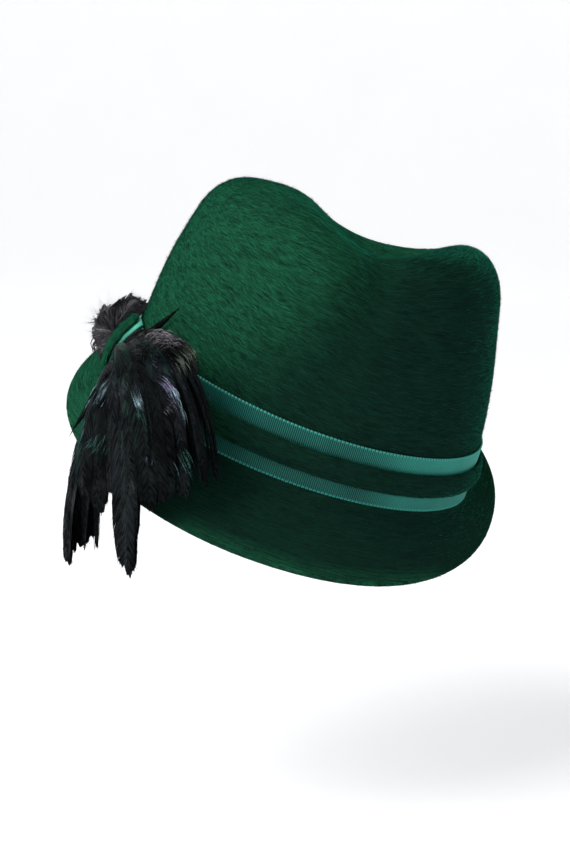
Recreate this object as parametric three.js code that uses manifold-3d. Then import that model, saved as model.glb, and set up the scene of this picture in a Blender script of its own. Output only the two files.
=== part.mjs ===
// A felt hat of the trilby kind: creased crown, snapped brim, ribbon and felt band, and a trim of
// cock feathers held by a loop. It is modelled at the slant at which it is worn.
// Millimetres, +Z up. The wearer looks along -Y. The origin is the middle of the head opening.

import * as THREE from 'three';
import { mergeVertices } from 'three/addons/utils/BufferGeometryUtils.js';
import Module from 'manifold-3d';

const wasm = await Module();
wasm.setup();

// Driving dimensions. A turn is in degrees around the hat from the front, towards the wearer's left.
const HEAD = { length: 208, width: 175 };
const SLANT = { forward: 15.01, toLeft: 11.62 };
const FELT = { thickness: 2.6, edgeRound: 0.9 };
const GAP = 0.35;

// Mesh sizes: points around the hat, a quarter of them along each side of the patch on top.
const STATIONS = 64;
const PATCH = STATIONS / 4;
const BRIM_STEPS = 5;

// Crown before it is creased: the share of the head oval that is left, by the felt's travel up it.
const CROWN_PROFILE = [
  { travel: 0, share: 1.0, height: 0 },
  { travel: 25, share: 0.998, height: 25 },
  { travel: 41, share: 0.983, height: 41 },
  { travel: 57, share: 0.965, height: 57 },
  { travel: 72, share: 0.94, height: 71.5 },
  { travel: 90, share: 0.896, height: 89 },
  { travel: 100, share: 0.872, height: 98.5 },
  { travel: 108, share: 0.84, height: 106 },
  { travel: 116, share: 0.79, height: 112.5 },
  { travel: 125, share: 0.71, height: 118 },
  { travel: 135, share: 0.6, height: 120.5 },
  { travel: 190, share: 0.0, height: 121 },
];
const CROWN_RINGS = [0, 7, 18, 32, 46, 60, 72, 83, 92, 100, 107, 113, 119, 125];
const CROWN_MIDDLE = 190;

// Crease along the top, from front to back: its place across, its depth, and its reach to either side.
const CREASE = { turn: -25, fadeLow: 55, fadeHigh: 116 };
const CREASE_FLOOR = [
  { along: -95, aside: 6, depth: 10, toRight: 42, toLeft: 24 },
  { along: -62, aside: 8, depth: 12, toRight: 46, toLeft: 32 },
  { along: -25, aside: 11, depth: 18, toRight: 50, toLeft: 48 },
  { along: 20, aside: 12, depth: 25, toRight: 50, toLeft: 54 },
  { along: 60, aside: 12, depth: 11, toRight: 48, toLeft: 54 },
  { along: 95, aside: 12, depth: 7, toRight: 48, toLeft: 54 },
];
const BACK_FALL = { from: -20, to: 90, drop: 16 };

// Dents in the wall: where each is deepest, how far it spreads, and how deep it is (below 0 for a ridge).
const DENTS = [
  { name: 'flatter left side', turn: 60, spread: 60, height: 88, reach: 60, depth: 2.2 },
  { name: 'front pinch', turn: -16, spread: 26, height: 112, reach: 62, depth: 9 },
  { name: 'ridge beside it', turn: -37, spread: 14, height: 62, reach: 40, depth: -1.5 },
  { name: 'second fold', turn: -2, spread: 12, height: 80, reach: 45, depth: 2 },
];
const DENT_TOP = { none: 0.35, full: 0.8 };

// Brim: how far out and how far down its edge lies, and the share of the drop at its half-way bend.
const BRIM = [
  { turn: -165, out: 24, drop: -9, bend: 0.3 },
  { turn: -130, out: 25, drop: 10, bend: 0.3 },
  { turn: -100, out: 27, drop: 22, bend: 0.35 },
  { turn: -70, out: 28, drop: 29, bend: 0.35 },
  { turn: -35, out: 26, drop: 32, bend: 0.35 },
  { turn: 0, out: 22, drop: 29, bend: 0.35 },
  { turn: 35, out: 18.5, drop: 15, bend: 0.35 },
  { turn: 70, out: 18, drop: -6, bend: 0.2 },
  { turn: 105, out: 20, drop: -17, bend: 0.2 },
  { turn: 150, out: 22, drop: -14, bend: 0.25 },
];

// Bands around the foot of the crown, from the head line up.
const RIBBON = { low: 1.6, high: 28, thickness: 0.8 };
const STRIP = { low: 8.6, high: 20.8, edge: 1.6, middle: 3.4 };
const BAND_WIDENING = { turn: -85, spread: 80, share: 0.08 };

// Loop over the feather roots, from its upper end down: the middle of the felt, out of the crown.
const LOOP = { turn: -114, thickness: 2.6 };
const LOOP_PATH = [
  { height: 33.5, out: 3, width: 12 },
  { height: 30.5, out: 5.4, width: 13.5 },
  { height: 24, out: 9.2, width: 15 },
  { height: 15.5, out: 12.2, width: 16 },
  { height: 7.5, out: 13, width: 16 },
  { height: 1, out: 11.4, width: 15 },
  { height: -2.5, out: 7.6, width: 14 },
];
const LOOP_RIBBON = { turn: -111, thickness: 0.8, width: 13 };

// Feathers. A root lies beside the crown, with a knot that runs from it under the loop. A lock's tip is
// measured from its root, in plumb directions.
const HANGING_ROOT = { turn: -102, height: 9, out: 8, reach: 1 };
const HANGING_KNOT = { turn: -105.5, height: 12, out: 7.7, wide: 26, high: 14, deep: 4.2 };
const HANGING_LOCKS = [
  { name: 'rear tail', toSide: 38, toFront: 24, down: 94, lift: -2, bow: 14, width: 21 },
  { name: 'rear tail, inner', toSide: 35, toFront: 31, down: 90, lift: 2, bow: 16, width: 20 },
  { name: 'thin tail', toSide: 32, toFront: 41, down: 93, lift: 5, bow: 18, width: 9 },
  { name: 'short tail', toSide: 32, toFront: 53, down: 70, lift: 10, bow: 18, width: 17 },
  { name: 'long middle tail', toSide: 32, toFront: 78, down: 91, lift: 16, bow: 18, width: 22 },
  { name: 'frayed tail', toSide: 29, toFront: 85, down: 83, lift: 19, bow: 18, width: 12 },
  { name: 'brim feather', toSide: 23, toFront: 89, down: 60, lift: 24, bow: 18, width: 18 },
  { name: 'second brim feather', toSide: 17, toFront: 94, down: 54, lift: 29, bow: 17, width: 18 },
  { name: 'third brim feather', toSide: 10, toFront: 99, down: 52, lift: 34, bow: 15, width: 16 },
  { name: 'wisp', toSide: 5, toFront: 108, down: 47, lift: 38, bow: 12, width: 9 },
  { name: 'upper cover', toSide: 30, toFront: 43, down: 38, lift: 14, bow: 23, width: 24 },
  { name: 'front cover', toSide: 18, toFront: 73, down: 22, lift: 29, bow: 20, width: 22 },
];
const CURLED_ROOT = { turn: -121.5, height: 17, out: 7.4, reach: 0.5, facing: -60 };
const CURLED_KNOT = { turn: -120, height: 17, out: 7.4, wide: 13, high: 14, deep: 4.2 };
const CURLED_LOCKS = [
  { name: 'top curl', toSide: -20, toFront: -13, down: -20, lift: 12, bow: 5, width: 13 },
  { name: 'second curl', toSide: -13, toFront: -18, down: -18, lift: 11, bow: 6, width: 14 },
  { name: 'third curl', toSide: -6, toFront: -21, down: -12, lift: 8, bow: 8, width: 15 },
  { name: 'fourth curl', toSide: 0, toFront: -24, down: -2, lift: 4, bow: 10, width: 15 },
  { name: 'fifth curl', toSide: 3, toFront: -25, down: 8, lift: 0, bow: 10, width: 14 },
  { name: 'low curl', toSide: 1, toFront: -23, down: 15, lift: -4, bow: 8, width: 12 },
];
const LOCK_STEPS = 8;
const LOCK_THICKNESS = 3.4;

// Width and thickness of a lock along its length, as shares of its full size.
const LOCK_SHAPE = [
  { along: 0, width: 0.45, thickness: 0.9 },
  { along: 0.25, width: 0.85, thickness: 1 },
  { along: 0.55, width: 1, thickness: 0.9 },
  { along: 0.85, width: 0.92, thickness: 0.7 },
  { along: 1, width: 0.25, thickness: 0.35 },
];

const radians = THREE.MathUtils.degToRad;
const smoothstep = THREE.MathUtils.smoothstep;

// Round-topped bump: 1 in the middle and 0 from a distance of 1.
function bell(distance) {
  return Math.abs(distance) < 1 ? (1 + Math.cos(Math.PI * distance)) / 2 : 0;
}

// Smooth curve through a column of a table, whose rows follow the column that orders them.
function column(rows, order, name, period = 0) {
  let knots = rows.map((row) => ({ at: row[order], value: row[name] }));
  if (period) {
    const shifted = (part, by) => part.map((knot) => ({ at: knot.at + by, value: knot.value }));
    knots = [...shifted(knots.slice(-2), -period), ...knots, ...shifted(knots.slice(0, 2), period)];
  }
  const last = knots.length - 1;
  const slopes = knots.map((knot, i) => {
    const before = knots[Math.max(i - 1, 0)];
    const after = knots[Math.min(i + 1, last)];
    return (after.value - before.value) / (after.at - before.at);
  });
  return (at) => {
    let i = 0;
    while (i < last - 1 && at > knots[i + 1].at) i += 1;
    const [a, b] = [knots[i], knots[i + 1]];
    const span = b.at - a.at;
    const t = THREE.MathUtils.clamp((at - a.at) / span, 0, 1);
    const blend = t * t * (3 - 2 * t);
    const bow = t * (1 - t) * span;
    return a.value + (b.value - a.value) * blend + bow * ((1 - t) * slopes[i] - t * slopes[i + 1]);
  };
}

const crownShare = column(CROWN_PROFILE, 'travel', 'share');
const crownHeight = column(CROWN_PROFILE, 'travel', 'height');
const creaseAside = column(CREASE_FLOOR, 'along', 'aside');
const creaseDepth = column(CREASE_FLOOR, 'along', 'depth');
const creaseToRight = column(CREASE_FLOOR, 'along', 'toRight');
const creaseToLeft = column(CREASE_FLOOR, 'along', 'toLeft');
const brimOut = column(BRIM, 'turn', 'out', 360);
const brimDrop = column(BRIM, 'turn', 'drop', 360);
const brimBend = column(BRIM, 'turn', 'bend', 360);

// Angle brought to the range of the tables, from -180 to 180 degrees.
function turnOf(angle) {
  return THREE.MathUtils.euclideanModulo(THREE.MathUtils.radToDeg(angle) + 180, 360) - 180;
}

// Level direction straight out of the head oval.
function outward(angle) {
  const x = Math.sin(angle) / HEAD.width;
  const y = -Math.cos(angle) / HEAD.length;
  return new THREE.Vector3(x, y, 0).normalize();
}

// Level direction that a turn points in, seen from the middle of the hat.
function outwardTo(turn) {
  return new THREE.Vector3(Math.sin(radians(turn)), -Math.cos(radians(turn)), 0);
}

const creaseFront = outwardTo(CREASE.turn);
const creaseSide = new THREE.Vector3(-creaseFront.y, creaseFront.x, 0);

// Point on the outside of the crown.
function crownPoint(angle, travel) {
  const share = crownShare(travel);
  const point = new THREE.Vector3(
    (share * HEAD.width * Math.sin(angle)) / 2,
    (-share * HEAD.length * Math.cos(angle)) / 2,
    crownHeight(travel),
  );
  const height = point.z;
  const along = -point.dot(creaseFront);
  const across = point.dot(creaseSide) - creaseAside(along);
  const reach = across < 0 ? creaseToRight(along) : creaseToLeft(along);
  const rim = smoothstep(height, CREASE.fadeLow, CREASE.fadeHigh);
  point.z -= creaseDepth(along) * bell(across / reach) * rim;
  point.z -= BACK_FALL.drop * smoothstep(along, BACK_FALL.from, BACK_FALL.to) * rim;
  const inward = outward(angle).negate();
  for (const dent of DENTS) {
    const aside = bell((turnOf(angle) - dent.turn) / dent.spread);
    const upDown = bell((height - dent.height) / dent.reach);
    const onTop = smoothstep(share, DENT_TOP.none, DENT_TOP.full);
    point.addScaledVector(inward, dent.depth * aside * upDown * onTop);
  }
  return point;
}

// Point on the upper side of the brim, from 0 at the head line to 1 at the edge.
function brimPoint(angle, reach) {
  const turn = turnOf(angle);
  const [out, drop, bend] = [brimOut(turn), brimDrop(turn), brimBend(turn)];
  const [first, second] = [2 * reach * (1 - reach), reach * reach];
  const point = crownPoint(angle, 0);
  point.addScaledVector(outward(angle), out * (first * 0.5 + second));
  point.z -= drop * (first * bend + second);
  return point;
}

// Closed shape from points and triangles, turned the right way out.
function closedGeometry(points, faces) {
  let volume = 0;
  for (const [a, b, c] of faces) {
    volume += points[a].dot(new THREE.Vector3().crossVectors(points[b], points[c]));
  }
  const index = faces.flatMap(([a, b, c]) => (volume < 0 ? [a, c, b] : [a, b, c]));
  const geometry = new THREE.BufferGeometry();
  const places = points.flatMap((point) => point.toArray());
  geometry.setAttribute('position', new THREE.Float32BufferAttribute(places, 3));
  geometry.setIndex(index);
  geometry.computeVertexNormals();
  return geometry;
}

// Two triangles for the four corners of a patch.
function square(a, b, c, d) {
  return [[a, b, c], [a, c, d]];
}

function stationAngle(station) {
  return radians((360 * station) / STATIONS - 45);
}

// Angle and size of ring for a point of the patch on top, with both of its places from -1 to 1.
function patchPlace(a, b) {
  const size = Math.max(Math.abs(a), Math.abs(b));
  if (size === 0) return { size, angle: 0 };
  if (-b === size) return { size, angle: radians(45 * (a / size)) };
  if (a === size) return { size, angle: radians(90 + 45 * (b / size)) };
  if (b === size) return { size, angle: radians(180 - 45 * (a / size)) };
  return { size, angle: radians(270 - 45 * (b / size)) };
}

// Outside of the felt, from the brim's edge up to the patch that closes the top.
function feltSkin() {
  const points = [];
  const faces = [];
  const addRing = (pointAt) => {
    for (let station = 0; station < STATIONS; station += 1) points.push(pointAt(stationAngle(station)));
  };
  for (let step = BRIM_STEPS; step > 0; step -= 1) addRing((angle) => brimPoint(angle, step / BRIM_STEPS));
  for (const travel of CROWN_RINGS) addRing((angle) => crownPoint(angle, travel));
  const rings = BRIM_STEPS + CROWN_RINGS.length;
  for (let ring = 0; ring < rings - 1; ring += 1) {
    for (let station = 0; station < STATIONS; station += 1) {
      const next = (station + 1) % STATIONS;
      const [low, high] = [ring * STATIONS, (ring + 1) * STATIONS];
      faces.push(...square(low + station, low + next, high + next, high + station));
    }
  }

  const top = CROWN_RINGS.at(-1);
  const rim = (rings - 1) * STATIONS;
  const number = new Map();
  for (let i = 0; i <= PATCH; i += 1) {
    for (let j = 0; j <= PATCH; j += 1) {
      const { size, angle } = patchPlace((2 * i) / PATCH - 1, (2 * j) / PATCH - 1);
      if (size === 1) {
        const station = Math.round(((THREE.MathUtils.radToDeg(angle) + 45) / 360) * STATIONS);
        number.set(`${i},${j}`, rim + (station % STATIONS));
      } else {
        number.set(`${i},${j}`, points.length);
        points.push(crownPoint(angle, CROWN_MIDDLE + (top - CROWN_MIDDLE) * size));
      }
    }
  }
  for (let i = 0; i < PATCH; i += 1) {
    for (let j = 0; j < PATCH; j += 1) {
      const corner = (di, dj) => number.get(`${i + di},${j + dj}`);
      faces.push(...square(corner(0, 0), corner(1, 0), corner(1, 1), corner(0, 1)));
    }
  }
  return { points, faces };
}

// Felt wall between two skins: the outside moved out by grow, and moved in by the thickness and grow.
function feltWall(grow = 0) {
  const skin = feltSkin();
  const smooth = closedGeometry(skin.points, skin.faces).getAttribute('normal');
  const normals = skin.points.map((_, i) => new THREE.Vector3().fromBufferAttribute(smooth, i));
  const moved = (by) => skin.points.map((p, i) => p.clone().addScaledVector(normals[i], by));
  const outside = moved(grow);
  const inside = moved(-FELT.thickness - grow);
  const edge = [];
  for (let station = 0; station < STATIONS; station += 1) {
    const aside = outward(stationAngle(station)).multiplyScalar(FELT.edgeRound + grow);
    edge.push(outside[station].clone().add(inside[station]).multiplyScalar(0.5).add(aside));
  }
  const points = [...outside, ...inside, ...edge];
  const [inner, rim] = [outside.length, 2 * outside.length];
  const faces = [...skin.faces, ...skin.faces.map(([a, b, c]) => [inner + a, inner + c, inner + b])];
  for (let station = 0; station < STATIONS; station += 1) {
    const next = (station + 1) % STATIONS;
    faces.push(...square(next, station, rim + station, rim + next));
    faces.push(...square(rim + next, rim + station, inner + station, inner + next));
  }
  return closedGeometry(points, faces);
}

// Ring around the crown whose section is a list of heights and distances out of the felt.
function bandRing(section) {
  const points = [];
  const faces = [];
  for (let station = 0; station < STATIONS; station += 1) {
    const angle = stationAngle(station);
    const beside = bell((turnOf(angle) - BAND_WIDENING.turn) / BAND_WIDENING.spread);
    const wider = 1 + BAND_WIDENING.share * beside;
    for (const { height, out } of section) {
      points.push(crownPoint(angle, height * wider).addScaledVector(outward(angle), out));
    }
  }
  const size = section.length;
  for (let station = 0; station < STATIONS; station += 1) {
    const [here, next] = [station * size, ((station + 1) % STATIONS) * size];
    for (let k = 0; k < size; k += 1) {
      const m = (k + 1) % size;
      faces.push(...square(here + k, next + k, next + m, here + m));
    }
  }
  return closedGeometry(points, faces);
}

function ribbonSection() {
  const { low, high, thickness } = RIBBON;
  return [
    { height: low, out: GAP },
    { height: high, out: GAP },
    { height: high, out: GAP + thickness },
    { height: low, out: GAP + thickness },
  ];
}

function stripSection() {
  const { low, high, edge, middle } = STRIP;
  const back = 2 * GAP + RIBBON.thickness;
  const third = (high - low) / 3;
  return [
    { height: low, out: back },
    { height: high, out: back },
    { height: high, out: back + edge },
    { height: high - third, out: back + middle },
    { height: low + third, out: back + middle },
    { height: low, out: back + edge },
  ];
}

// Space that both bands take up, with the gap around it.
function bandSpace() {
  const out = 3 * GAP + RIBBON.thickness + STRIP.middle;
  return [
    { height: RIBBON.low - GAP, out: 0 },
    { height: RIBBON.high + GAP, out: 0 },
    { height: RIBBON.high + GAP, out },
    { height: RIBBON.low - GAP, out },
  ];
}

// Point out of the crown, or out of the head line where the height is less than 0.
function besideCrown({ turn, height, out }) {
  const angle = radians(turn);
  const point = crownPoint(angle, Math.max(height, 0)).addScaledVector(outward(angle), out);
  point.z += Math.min(height, 0);
  return point;
}

// Closed solid with a section of the same number of corners at each station and a cap at either end.
function loftGeometry(sections) {
  const size = sections[0].length;
  const points = sections.flat();
  const faces = [];
  for (let station = 0; station < sections.length - 1; station += 1) {
    for (let k = 0; k < size; k += 1) {
      const m = (k + 1) % size;
      const [here, next] = [station * size, (station + 1) * size];
      faces.push(...square(here + k, here + m, next + m, next + k));
    }
  }
  const last = (sections.length - 1) * size;
  for (let k = 1; k < size - 1; k += 1) {
    faces.push([0, k + 1, k], [last, last + k, last + k + 1]);
  }
  return closedGeometry(points, faces);
}

// Flat strap that follows the loop's path, moved in by some distance and made larger by grow.
function strapGeometry({ turn, thickness, width, inset = 0 }, grow = 0) {
  const middle = LOOP_PATH.map(({ height, out }) => besideCrown({ turn, height, out }));
  const across = new THREE.Vector3(0, 0, 1).cross(outward(radians(turn)));
  const sections = middle.map((point, i) => {
    const before = middle[Math.max(i - 1, 0)];
    const after = middle[Math.min(i + 1, middle.length - 1)];
    const along = after.clone().sub(before).normalize();
    const face = across.clone().cross(along);
    const halfWidth = (width ?? LOOP_PATH[i].width) / 2 + grow;
    const halfDepth = thickness / 2 + grow;
    return [[-1, -1], [1, -1], [1, 1], [-1, 1]].map(([w, d]) => point.clone()
      .addScaledVector(across, w * halfWidth)
      .addScaledVector(face, inset + d * halfDepth));
  });
  return loftGeometry(sections);
}

const ribbonStrap = {
  ...LOOP_RIBBON,
  inset: (LOOP.thickness + LOOP_RIBBON.thickness) / 2 + GAP,
};

const part = new THREE.Group();
const hat = new THREE.Group();
hat.rotation.set(radians(SLANT.forward), radians(SLANT.toLeft), 0, 'YXZ');
hat.updateMatrix();
part.add(hat);

// Solid for joins and cuts, from a closed geometry.
function solid(geometry) {
  const plain = geometry.clone();
  plain.deleteAttribute('normal');
  plain.deleteAttribute('uv');
  const merged = mergeVertices(plain);
  const vertProperties = Float32Array.from(merged.getAttribute('position').array);
  const triVerts = Uint32Array.from(merged.index.array);
  return new wasm.Manifold(new wasm.Mesh({ numProp: 3, vertProperties, triVerts }));
}

function geometryOf(manifold) {
  const { vertProperties, triVerts } = manifold.getMesh();
  const geometry = new THREE.BufferGeometry();
  geometry.setAttribute('position', new THREE.Float32BufferAttribute(vertProperties, 3));
  geometry.setIndex([...triVerts]);
  geometry.computeVertexNormals();
  return geometry;
}

// What the feathers keep clear of: felt, bands and loops, each with the gap around it.
function hatSpace() {
  const shapes = [
    feltWall(GAP),
    bandRing(bandSpace()),
    strapGeometry(LOOP, GAP),
    strapGeometry(ribbonStrap, GAP),
  ];
  const solids = shapes.map((geometry) => solid(geometry.applyMatrix4(hat.matrix)));
  return solids.reduce((all, one) => all.add(one));
}

const lockWidth = column(LOCK_SHAPE, 'along', 'width');
const lockDepth = column(LOCK_SHAPE, 'along', 'thickness');

// One lock of feathers: it leaves the root, rises by its lift, and hangs down to its tip. Its flat
// side is set at the tip, and is carried back to the root without a twist.
function lockGeometry(root, { facing, reach }, { toSide, toFront, down, lift, bow, width }) {
  const tip = root.clone().add(new THREE.Vector3(-toSide, -toFront, -down));
  const first = root.clone().add(new THREE.Vector3(-bow, -0.5 * toFront, lift));
  const second = root.clone().add(new THREE.Vector3(-toSide * reach - 2, -toFront * reach, lift - 0.3 * down));
  const path = new THREE.CubicBezierCurve3(root, first, second, tip);
  const away = facing ? outwardTo(facing) : new THREE.Vector3(tip.x, tip.y, 0).normalize();
  const across = path.getTangent(1).cross(away);
  const sections = [];
  for (let step = LOCK_STEPS; step >= 0; step -= 1) {
    const along = step / LOCK_STEPS;
    const point = path.getPoint(along);
    const tangent = path.getTangent(along);
    across.addScaledVector(tangent, -tangent.dot(across)).normalize();
    const face = across.clone().cross(tangent);
    const halfWidth = (width * lockWidth(along)) / 2;
    const halfDepth = (LOCK_THICKNESS * lockDepth(along)) / 2;
    const corners = [0, 60, 120, 180, 240, 300].map((degrees) => point.clone()
      .addScaledVector(across, Math.cos(radians(degrees)) * halfWidth)
      .addScaledVector(face, Math.sin(radians(degrees)) * halfDepth));
    sections.push(corners);
  }
  return loftGeometry(sections);
}

// Knot and locks fused into one body, cut back where they would touch the hat.
function plumeGeometry(root, knot, locks, space) {
  const place = (side) => besideCrown(side).applyMatrix4(hat.matrix);
  const bundle = new THREE.SphereGeometry(0.5, 12, 8);
  bundle.scale(knot.deep, knot.wide, knot.high);
  bundle.rotateZ(radians(90 + knot.turn));
  bundle.applyMatrix4(new THREE.Matrix4().extractRotation(hat.matrix));
  bundle.translate(...place(knot).toArray());
  const start = place(root);
  const fused = locks.reduce((all, lock) => all.add(solid(lockGeometry(start, root, lock))), solid(bundle));
  const pieces = fused.subtract(space).decompose();
  pieces.sort((a, b) => b.volume() - a.volume());
  return geometryOf(pieces[0]);
}

function material(color, roughness) {
  return new THREE.MeshStandardMaterial({ color, roughness, metalness: 0 });
}

const felt = material(0x10402f, 0.95);
const ribbon = material(0x1c5c50, 0.7);
const darkFeather = material(0x14181a, 0.45);
const greyFeather = material(0x2b2a30, 0.6);

function piece(name, geometry, finish) {
  const mesh = new THREE.Mesh(geometry, finish);
  mesh.name = name;
  return mesh;
}

hat.add(piece('crown_and_brim', feltWall(), felt));
hat.add(piece('ribbon_band', bandRing(ribbonSection()), ribbon));
hat.add(piece('felt_band', bandRing(stripSection()), felt));
hat.add(piece('felt_loop', strapGeometry(LOOP), felt));
hat.add(piece('ribbon_loop', strapGeometry(ribbonStrap), ribbon));

const space = hatSpace();
const hanging = plumeGeometry(HANGING_ROOT, HANGING_KNOT, HANGING_LOCKS, space);
const curled = plumeGeometry(CURLED_ROOT, CURLED_KNOT, CURLED_LOCKS, space);
part.add(piece('hanging_plume', hanging, darkFeather));
part.add(piece('curled_plume', curled, greyFeather));

export default part;
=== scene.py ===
"""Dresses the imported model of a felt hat: long-napped felt, ribbed ribbon and cock feathers.

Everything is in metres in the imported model's frame. The wearer looks along -Y, and +Z is up.
"""

import math
from collections import namedtuple

import bmesh
import bpy
import numpy as np
from bpy.props import FloatProperty, FloatVectorProperty, IntProperty, PointerProperty
from mathutils import Matrix, Vector


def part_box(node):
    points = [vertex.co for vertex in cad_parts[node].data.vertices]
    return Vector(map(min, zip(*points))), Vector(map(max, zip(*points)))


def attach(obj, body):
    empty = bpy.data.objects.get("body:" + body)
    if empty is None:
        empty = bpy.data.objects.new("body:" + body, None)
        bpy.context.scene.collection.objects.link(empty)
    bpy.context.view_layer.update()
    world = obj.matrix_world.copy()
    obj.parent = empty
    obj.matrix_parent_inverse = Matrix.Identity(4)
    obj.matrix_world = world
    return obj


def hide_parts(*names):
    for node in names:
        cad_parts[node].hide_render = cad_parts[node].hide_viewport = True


bl_info = {
    "name": "Felt Hat",
    "version": (1, 0, 0),
    "blender": (4, 5, 0),
    "location": "3D View > Sidebar > Felt Hat",
    "description": "Felt with a long nap, ribbed ribbon and cock feathers for a packed hat",
    "category": "Object",
}

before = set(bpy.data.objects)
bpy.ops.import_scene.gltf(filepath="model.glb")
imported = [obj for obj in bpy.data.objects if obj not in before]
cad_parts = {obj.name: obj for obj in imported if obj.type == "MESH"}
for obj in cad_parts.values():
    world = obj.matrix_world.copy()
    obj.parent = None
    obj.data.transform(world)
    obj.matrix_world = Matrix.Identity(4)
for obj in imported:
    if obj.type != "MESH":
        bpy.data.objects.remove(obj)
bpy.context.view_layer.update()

MM = 0.001

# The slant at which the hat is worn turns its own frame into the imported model's.
SLANT = np.array(
    Matrix.Rotation(math.radians(11.62), 3, "Y") @ Matrix.Rotation(math.radians(15.01), 3, "X")
)

# The head oval's half width and half length, and the radius of a circle that is about as long round.
HEAD = np.array([87.5, 104.0]) * MM
ROUND = 96 * MM

# Heights over the head line where the brim's nap ends under the band, and the crown's starts over it.
BRIM_TOP = 6 * MM
CROWN_FOOT = 27 * MM

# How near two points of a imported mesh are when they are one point.
SAME_PLACE = 0.005 * MM

# How deep a hair's root is sunk, and how far its tip droops as a share of its length.
ROOT_DEPTH = 0.05 * MM
DROOP = 0.03

Lock = namedtuple("Lock", "name to_side to_front down lift bow width feathers vane sheen")
Root = namedtuple("Root", "place spread reach facing")

# Roots of the plumes in millimetres: their place, how far about it feathers start, what share of the
# way out a feather goes before it bends down, and the turn that it faces where that isn't outwards.
# Locks of the plumes in millimetres: where the tip lies from the root, how far the lock lifts, bows
# and spreads, how many feathers it has, how wide each one is, and its sheen.
HANGING_ROOT = Root((-88.6, 19.9, 33.2), (1.5, 4.0, 4.0), 1.0, None)
HANGING_LOCKS = (
    Lock("rear tail", 39.2, 23, 99, -2, 9, 7, 9, 11, "blue"),
    Lock("rear tail, inner", 35.5, 33, 94, 2, 10, 7, 8, 11, "blue"),
    Lock("rear cover", 35, 33, 62, 2, 12, 15, 9, 12, "teal"),
    Lock("thin tail", 33, 41, 97, 5, 16, 4, 4, 3.5, "dark"),
    Lock("short tail", 33, 47, 72, 10, 16, 8, 8, 10, "dark"),
    Lock("under tail", 31, 57, 60, 8, 13, 10, 7, 10, "dark"),
    Lock("long middle tail", 32.7, 78, 98, 16, 16, 3.5, 8, 10, "green"),
    Lock("frayed tail", 31, 82, 84, 19, 18, 4, 5, 6, "dark"),
    Lock("brim feather", 26, 86, 64, 24, 18, 10, 10, 10, "green"),
    Lock("second brim feather", 21, 91, 62, 29, 17, 10, 10, 10, "dark"),
    Lock("third brim feather", 13, 97, 60, 34, 15, 10, 10, 7, "teal"),
    Lock("wisp", 6, 107, 53, 36, 12, 8, 9, 3.2, "dark"),
    Lock("last wisp", -1, 108, 53, 38, 12, 7, 7, 1.8, "dark"),
    Lock("upper cover", 26, 43, 38, 12, 9, 20, 14, 9, "blue"),
    Lock("front cover", 16, 71, 24, 22, 12, 16, 14, 9, "green"),
)
DOME_ROOT = Root((-84.5, 12.0, 41.0), (1.5, 4.0, 3.0), 1.0, None)
DOME_LOCKS = (
    Lock("dome, first", -2, 4, -7, 7, 5, 6, 8, 4.5, "dark"),
    Lock("dome, top", -5, 14, -12, 8, 4, 6, 10, 4.5, "dark"),
    Lock("dome, second", -5, 28, -11, 12, 7, 7, 14, 4.5, "dark"),
    Lock("dome, third", -6, 39, -7, 14, 9, 7, 14, 4.5, "bronze"),
    Lock("dome, fourth", -7, 47, 0, 14, 11, 7, 14, 4.5, "bronze"),
    Lock("dome, fifth", -7, 53, 9, 14, 12, 8, 14, 5, "dark"),
    Lock("dome, sixth", -6, 58, 20, 14, 13, 8, 14, 5, "violet"),
    Lock("dome, last", -4, 64, 34, 12, 14, 8, 14, 5.5, "dark"),
    Lock("dome, cover", 8, 48, 26, 12, 11, 16, 16, 6, "dark"),
    Lock("dome, rear cover", 16, 30, 34, 8, 4, 12, 14, 6, "blue"),
)
CURLED_ROOT = Root((-73.2, 51.4, 47.1), (2.0, 4.0, 4.0), 0.5, -60.0)
CURLED_LOCKS = (
    Lock("near curl", -18, -4, -18, 9, 3, 5, 9, 8, "grey"),
    Lock("top curl", -15, -11, -17, 10, 5, 6, 9, 9, "grey"),
    Lock("second curl", -10, -15, -13, 10, 6, 7, 9, 10, "grey"),
    Lock("third curl", -4, -19, -9, 9, 8, 8, 10, 10, "grey"),
    Lock("fourth curl", 0, -23, -3, 7, 10, 8, 10, 10, "grey"),
    Lock("fifth curl", 3, -23, 5, 3, 10, 7, 10, 9, "grey"),
    Lock("low curl", 3, -21, 11, -1, 8, 6, 9, 9, "pale"),
    Lock("lowest curl", 2, -17, 16, -5, 6, 5, 7, 8, "pale"),
)

# Pointed feathers that stand out of the hanging plume: both ends, and the width.
SPIKES = (
    ((-81.5, 7.0, 50.0), (-76.0, -24.0, 68.5), 4.2),
    ((-108.0, 4.0, 28.0), (-123.3, 8.4, 2.1), 2.6),
    ((-106.0, 6.0, 24.0), (-119.0, 11.0, 6.0), 2.2),
)
SPIKE_FACING = (-0.6, -0.8, 0.0)

# The length of feather over which the barbs' pattern runs from 0 to 1.
BARBED_LENGTH = 90 * MM

# Share of a feather's full width along it for each kind, and how it comes apart at the edges.
VANE_ALONG = (0.0, 0.08, 0.3, 0.62, 0.86, 0.96, 1.0)
Kind = namedtuple("Kind", "outline parts fluff sweep")
TAIL = Kind((0.1, 0.35, 0.85, 1.0, 0.98, 0.75, 0.2), 6, 0.8, 3.0)
HACKLE = Kind((0.15, 0.6, 1.0, 0.85, 0.45, 0.2, 0.04), 14, 2.0, 3.4)
CURL = Kind((0.2, 0.7, 1.0, 1.0, 0.8, 0.5, 0.15), 16, 2.4, 1.8)
SPIKE = Kind((0.7, 1.0, 0.85, 0.5, 0.22, 0.1, 0.0), 3, 0.4, 1.0)
BARB = Kind((0.1, 0.5, 1.0, 1.0, 0.6, 0.3, 0.0), 3, 0.3, 1.0)

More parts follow.
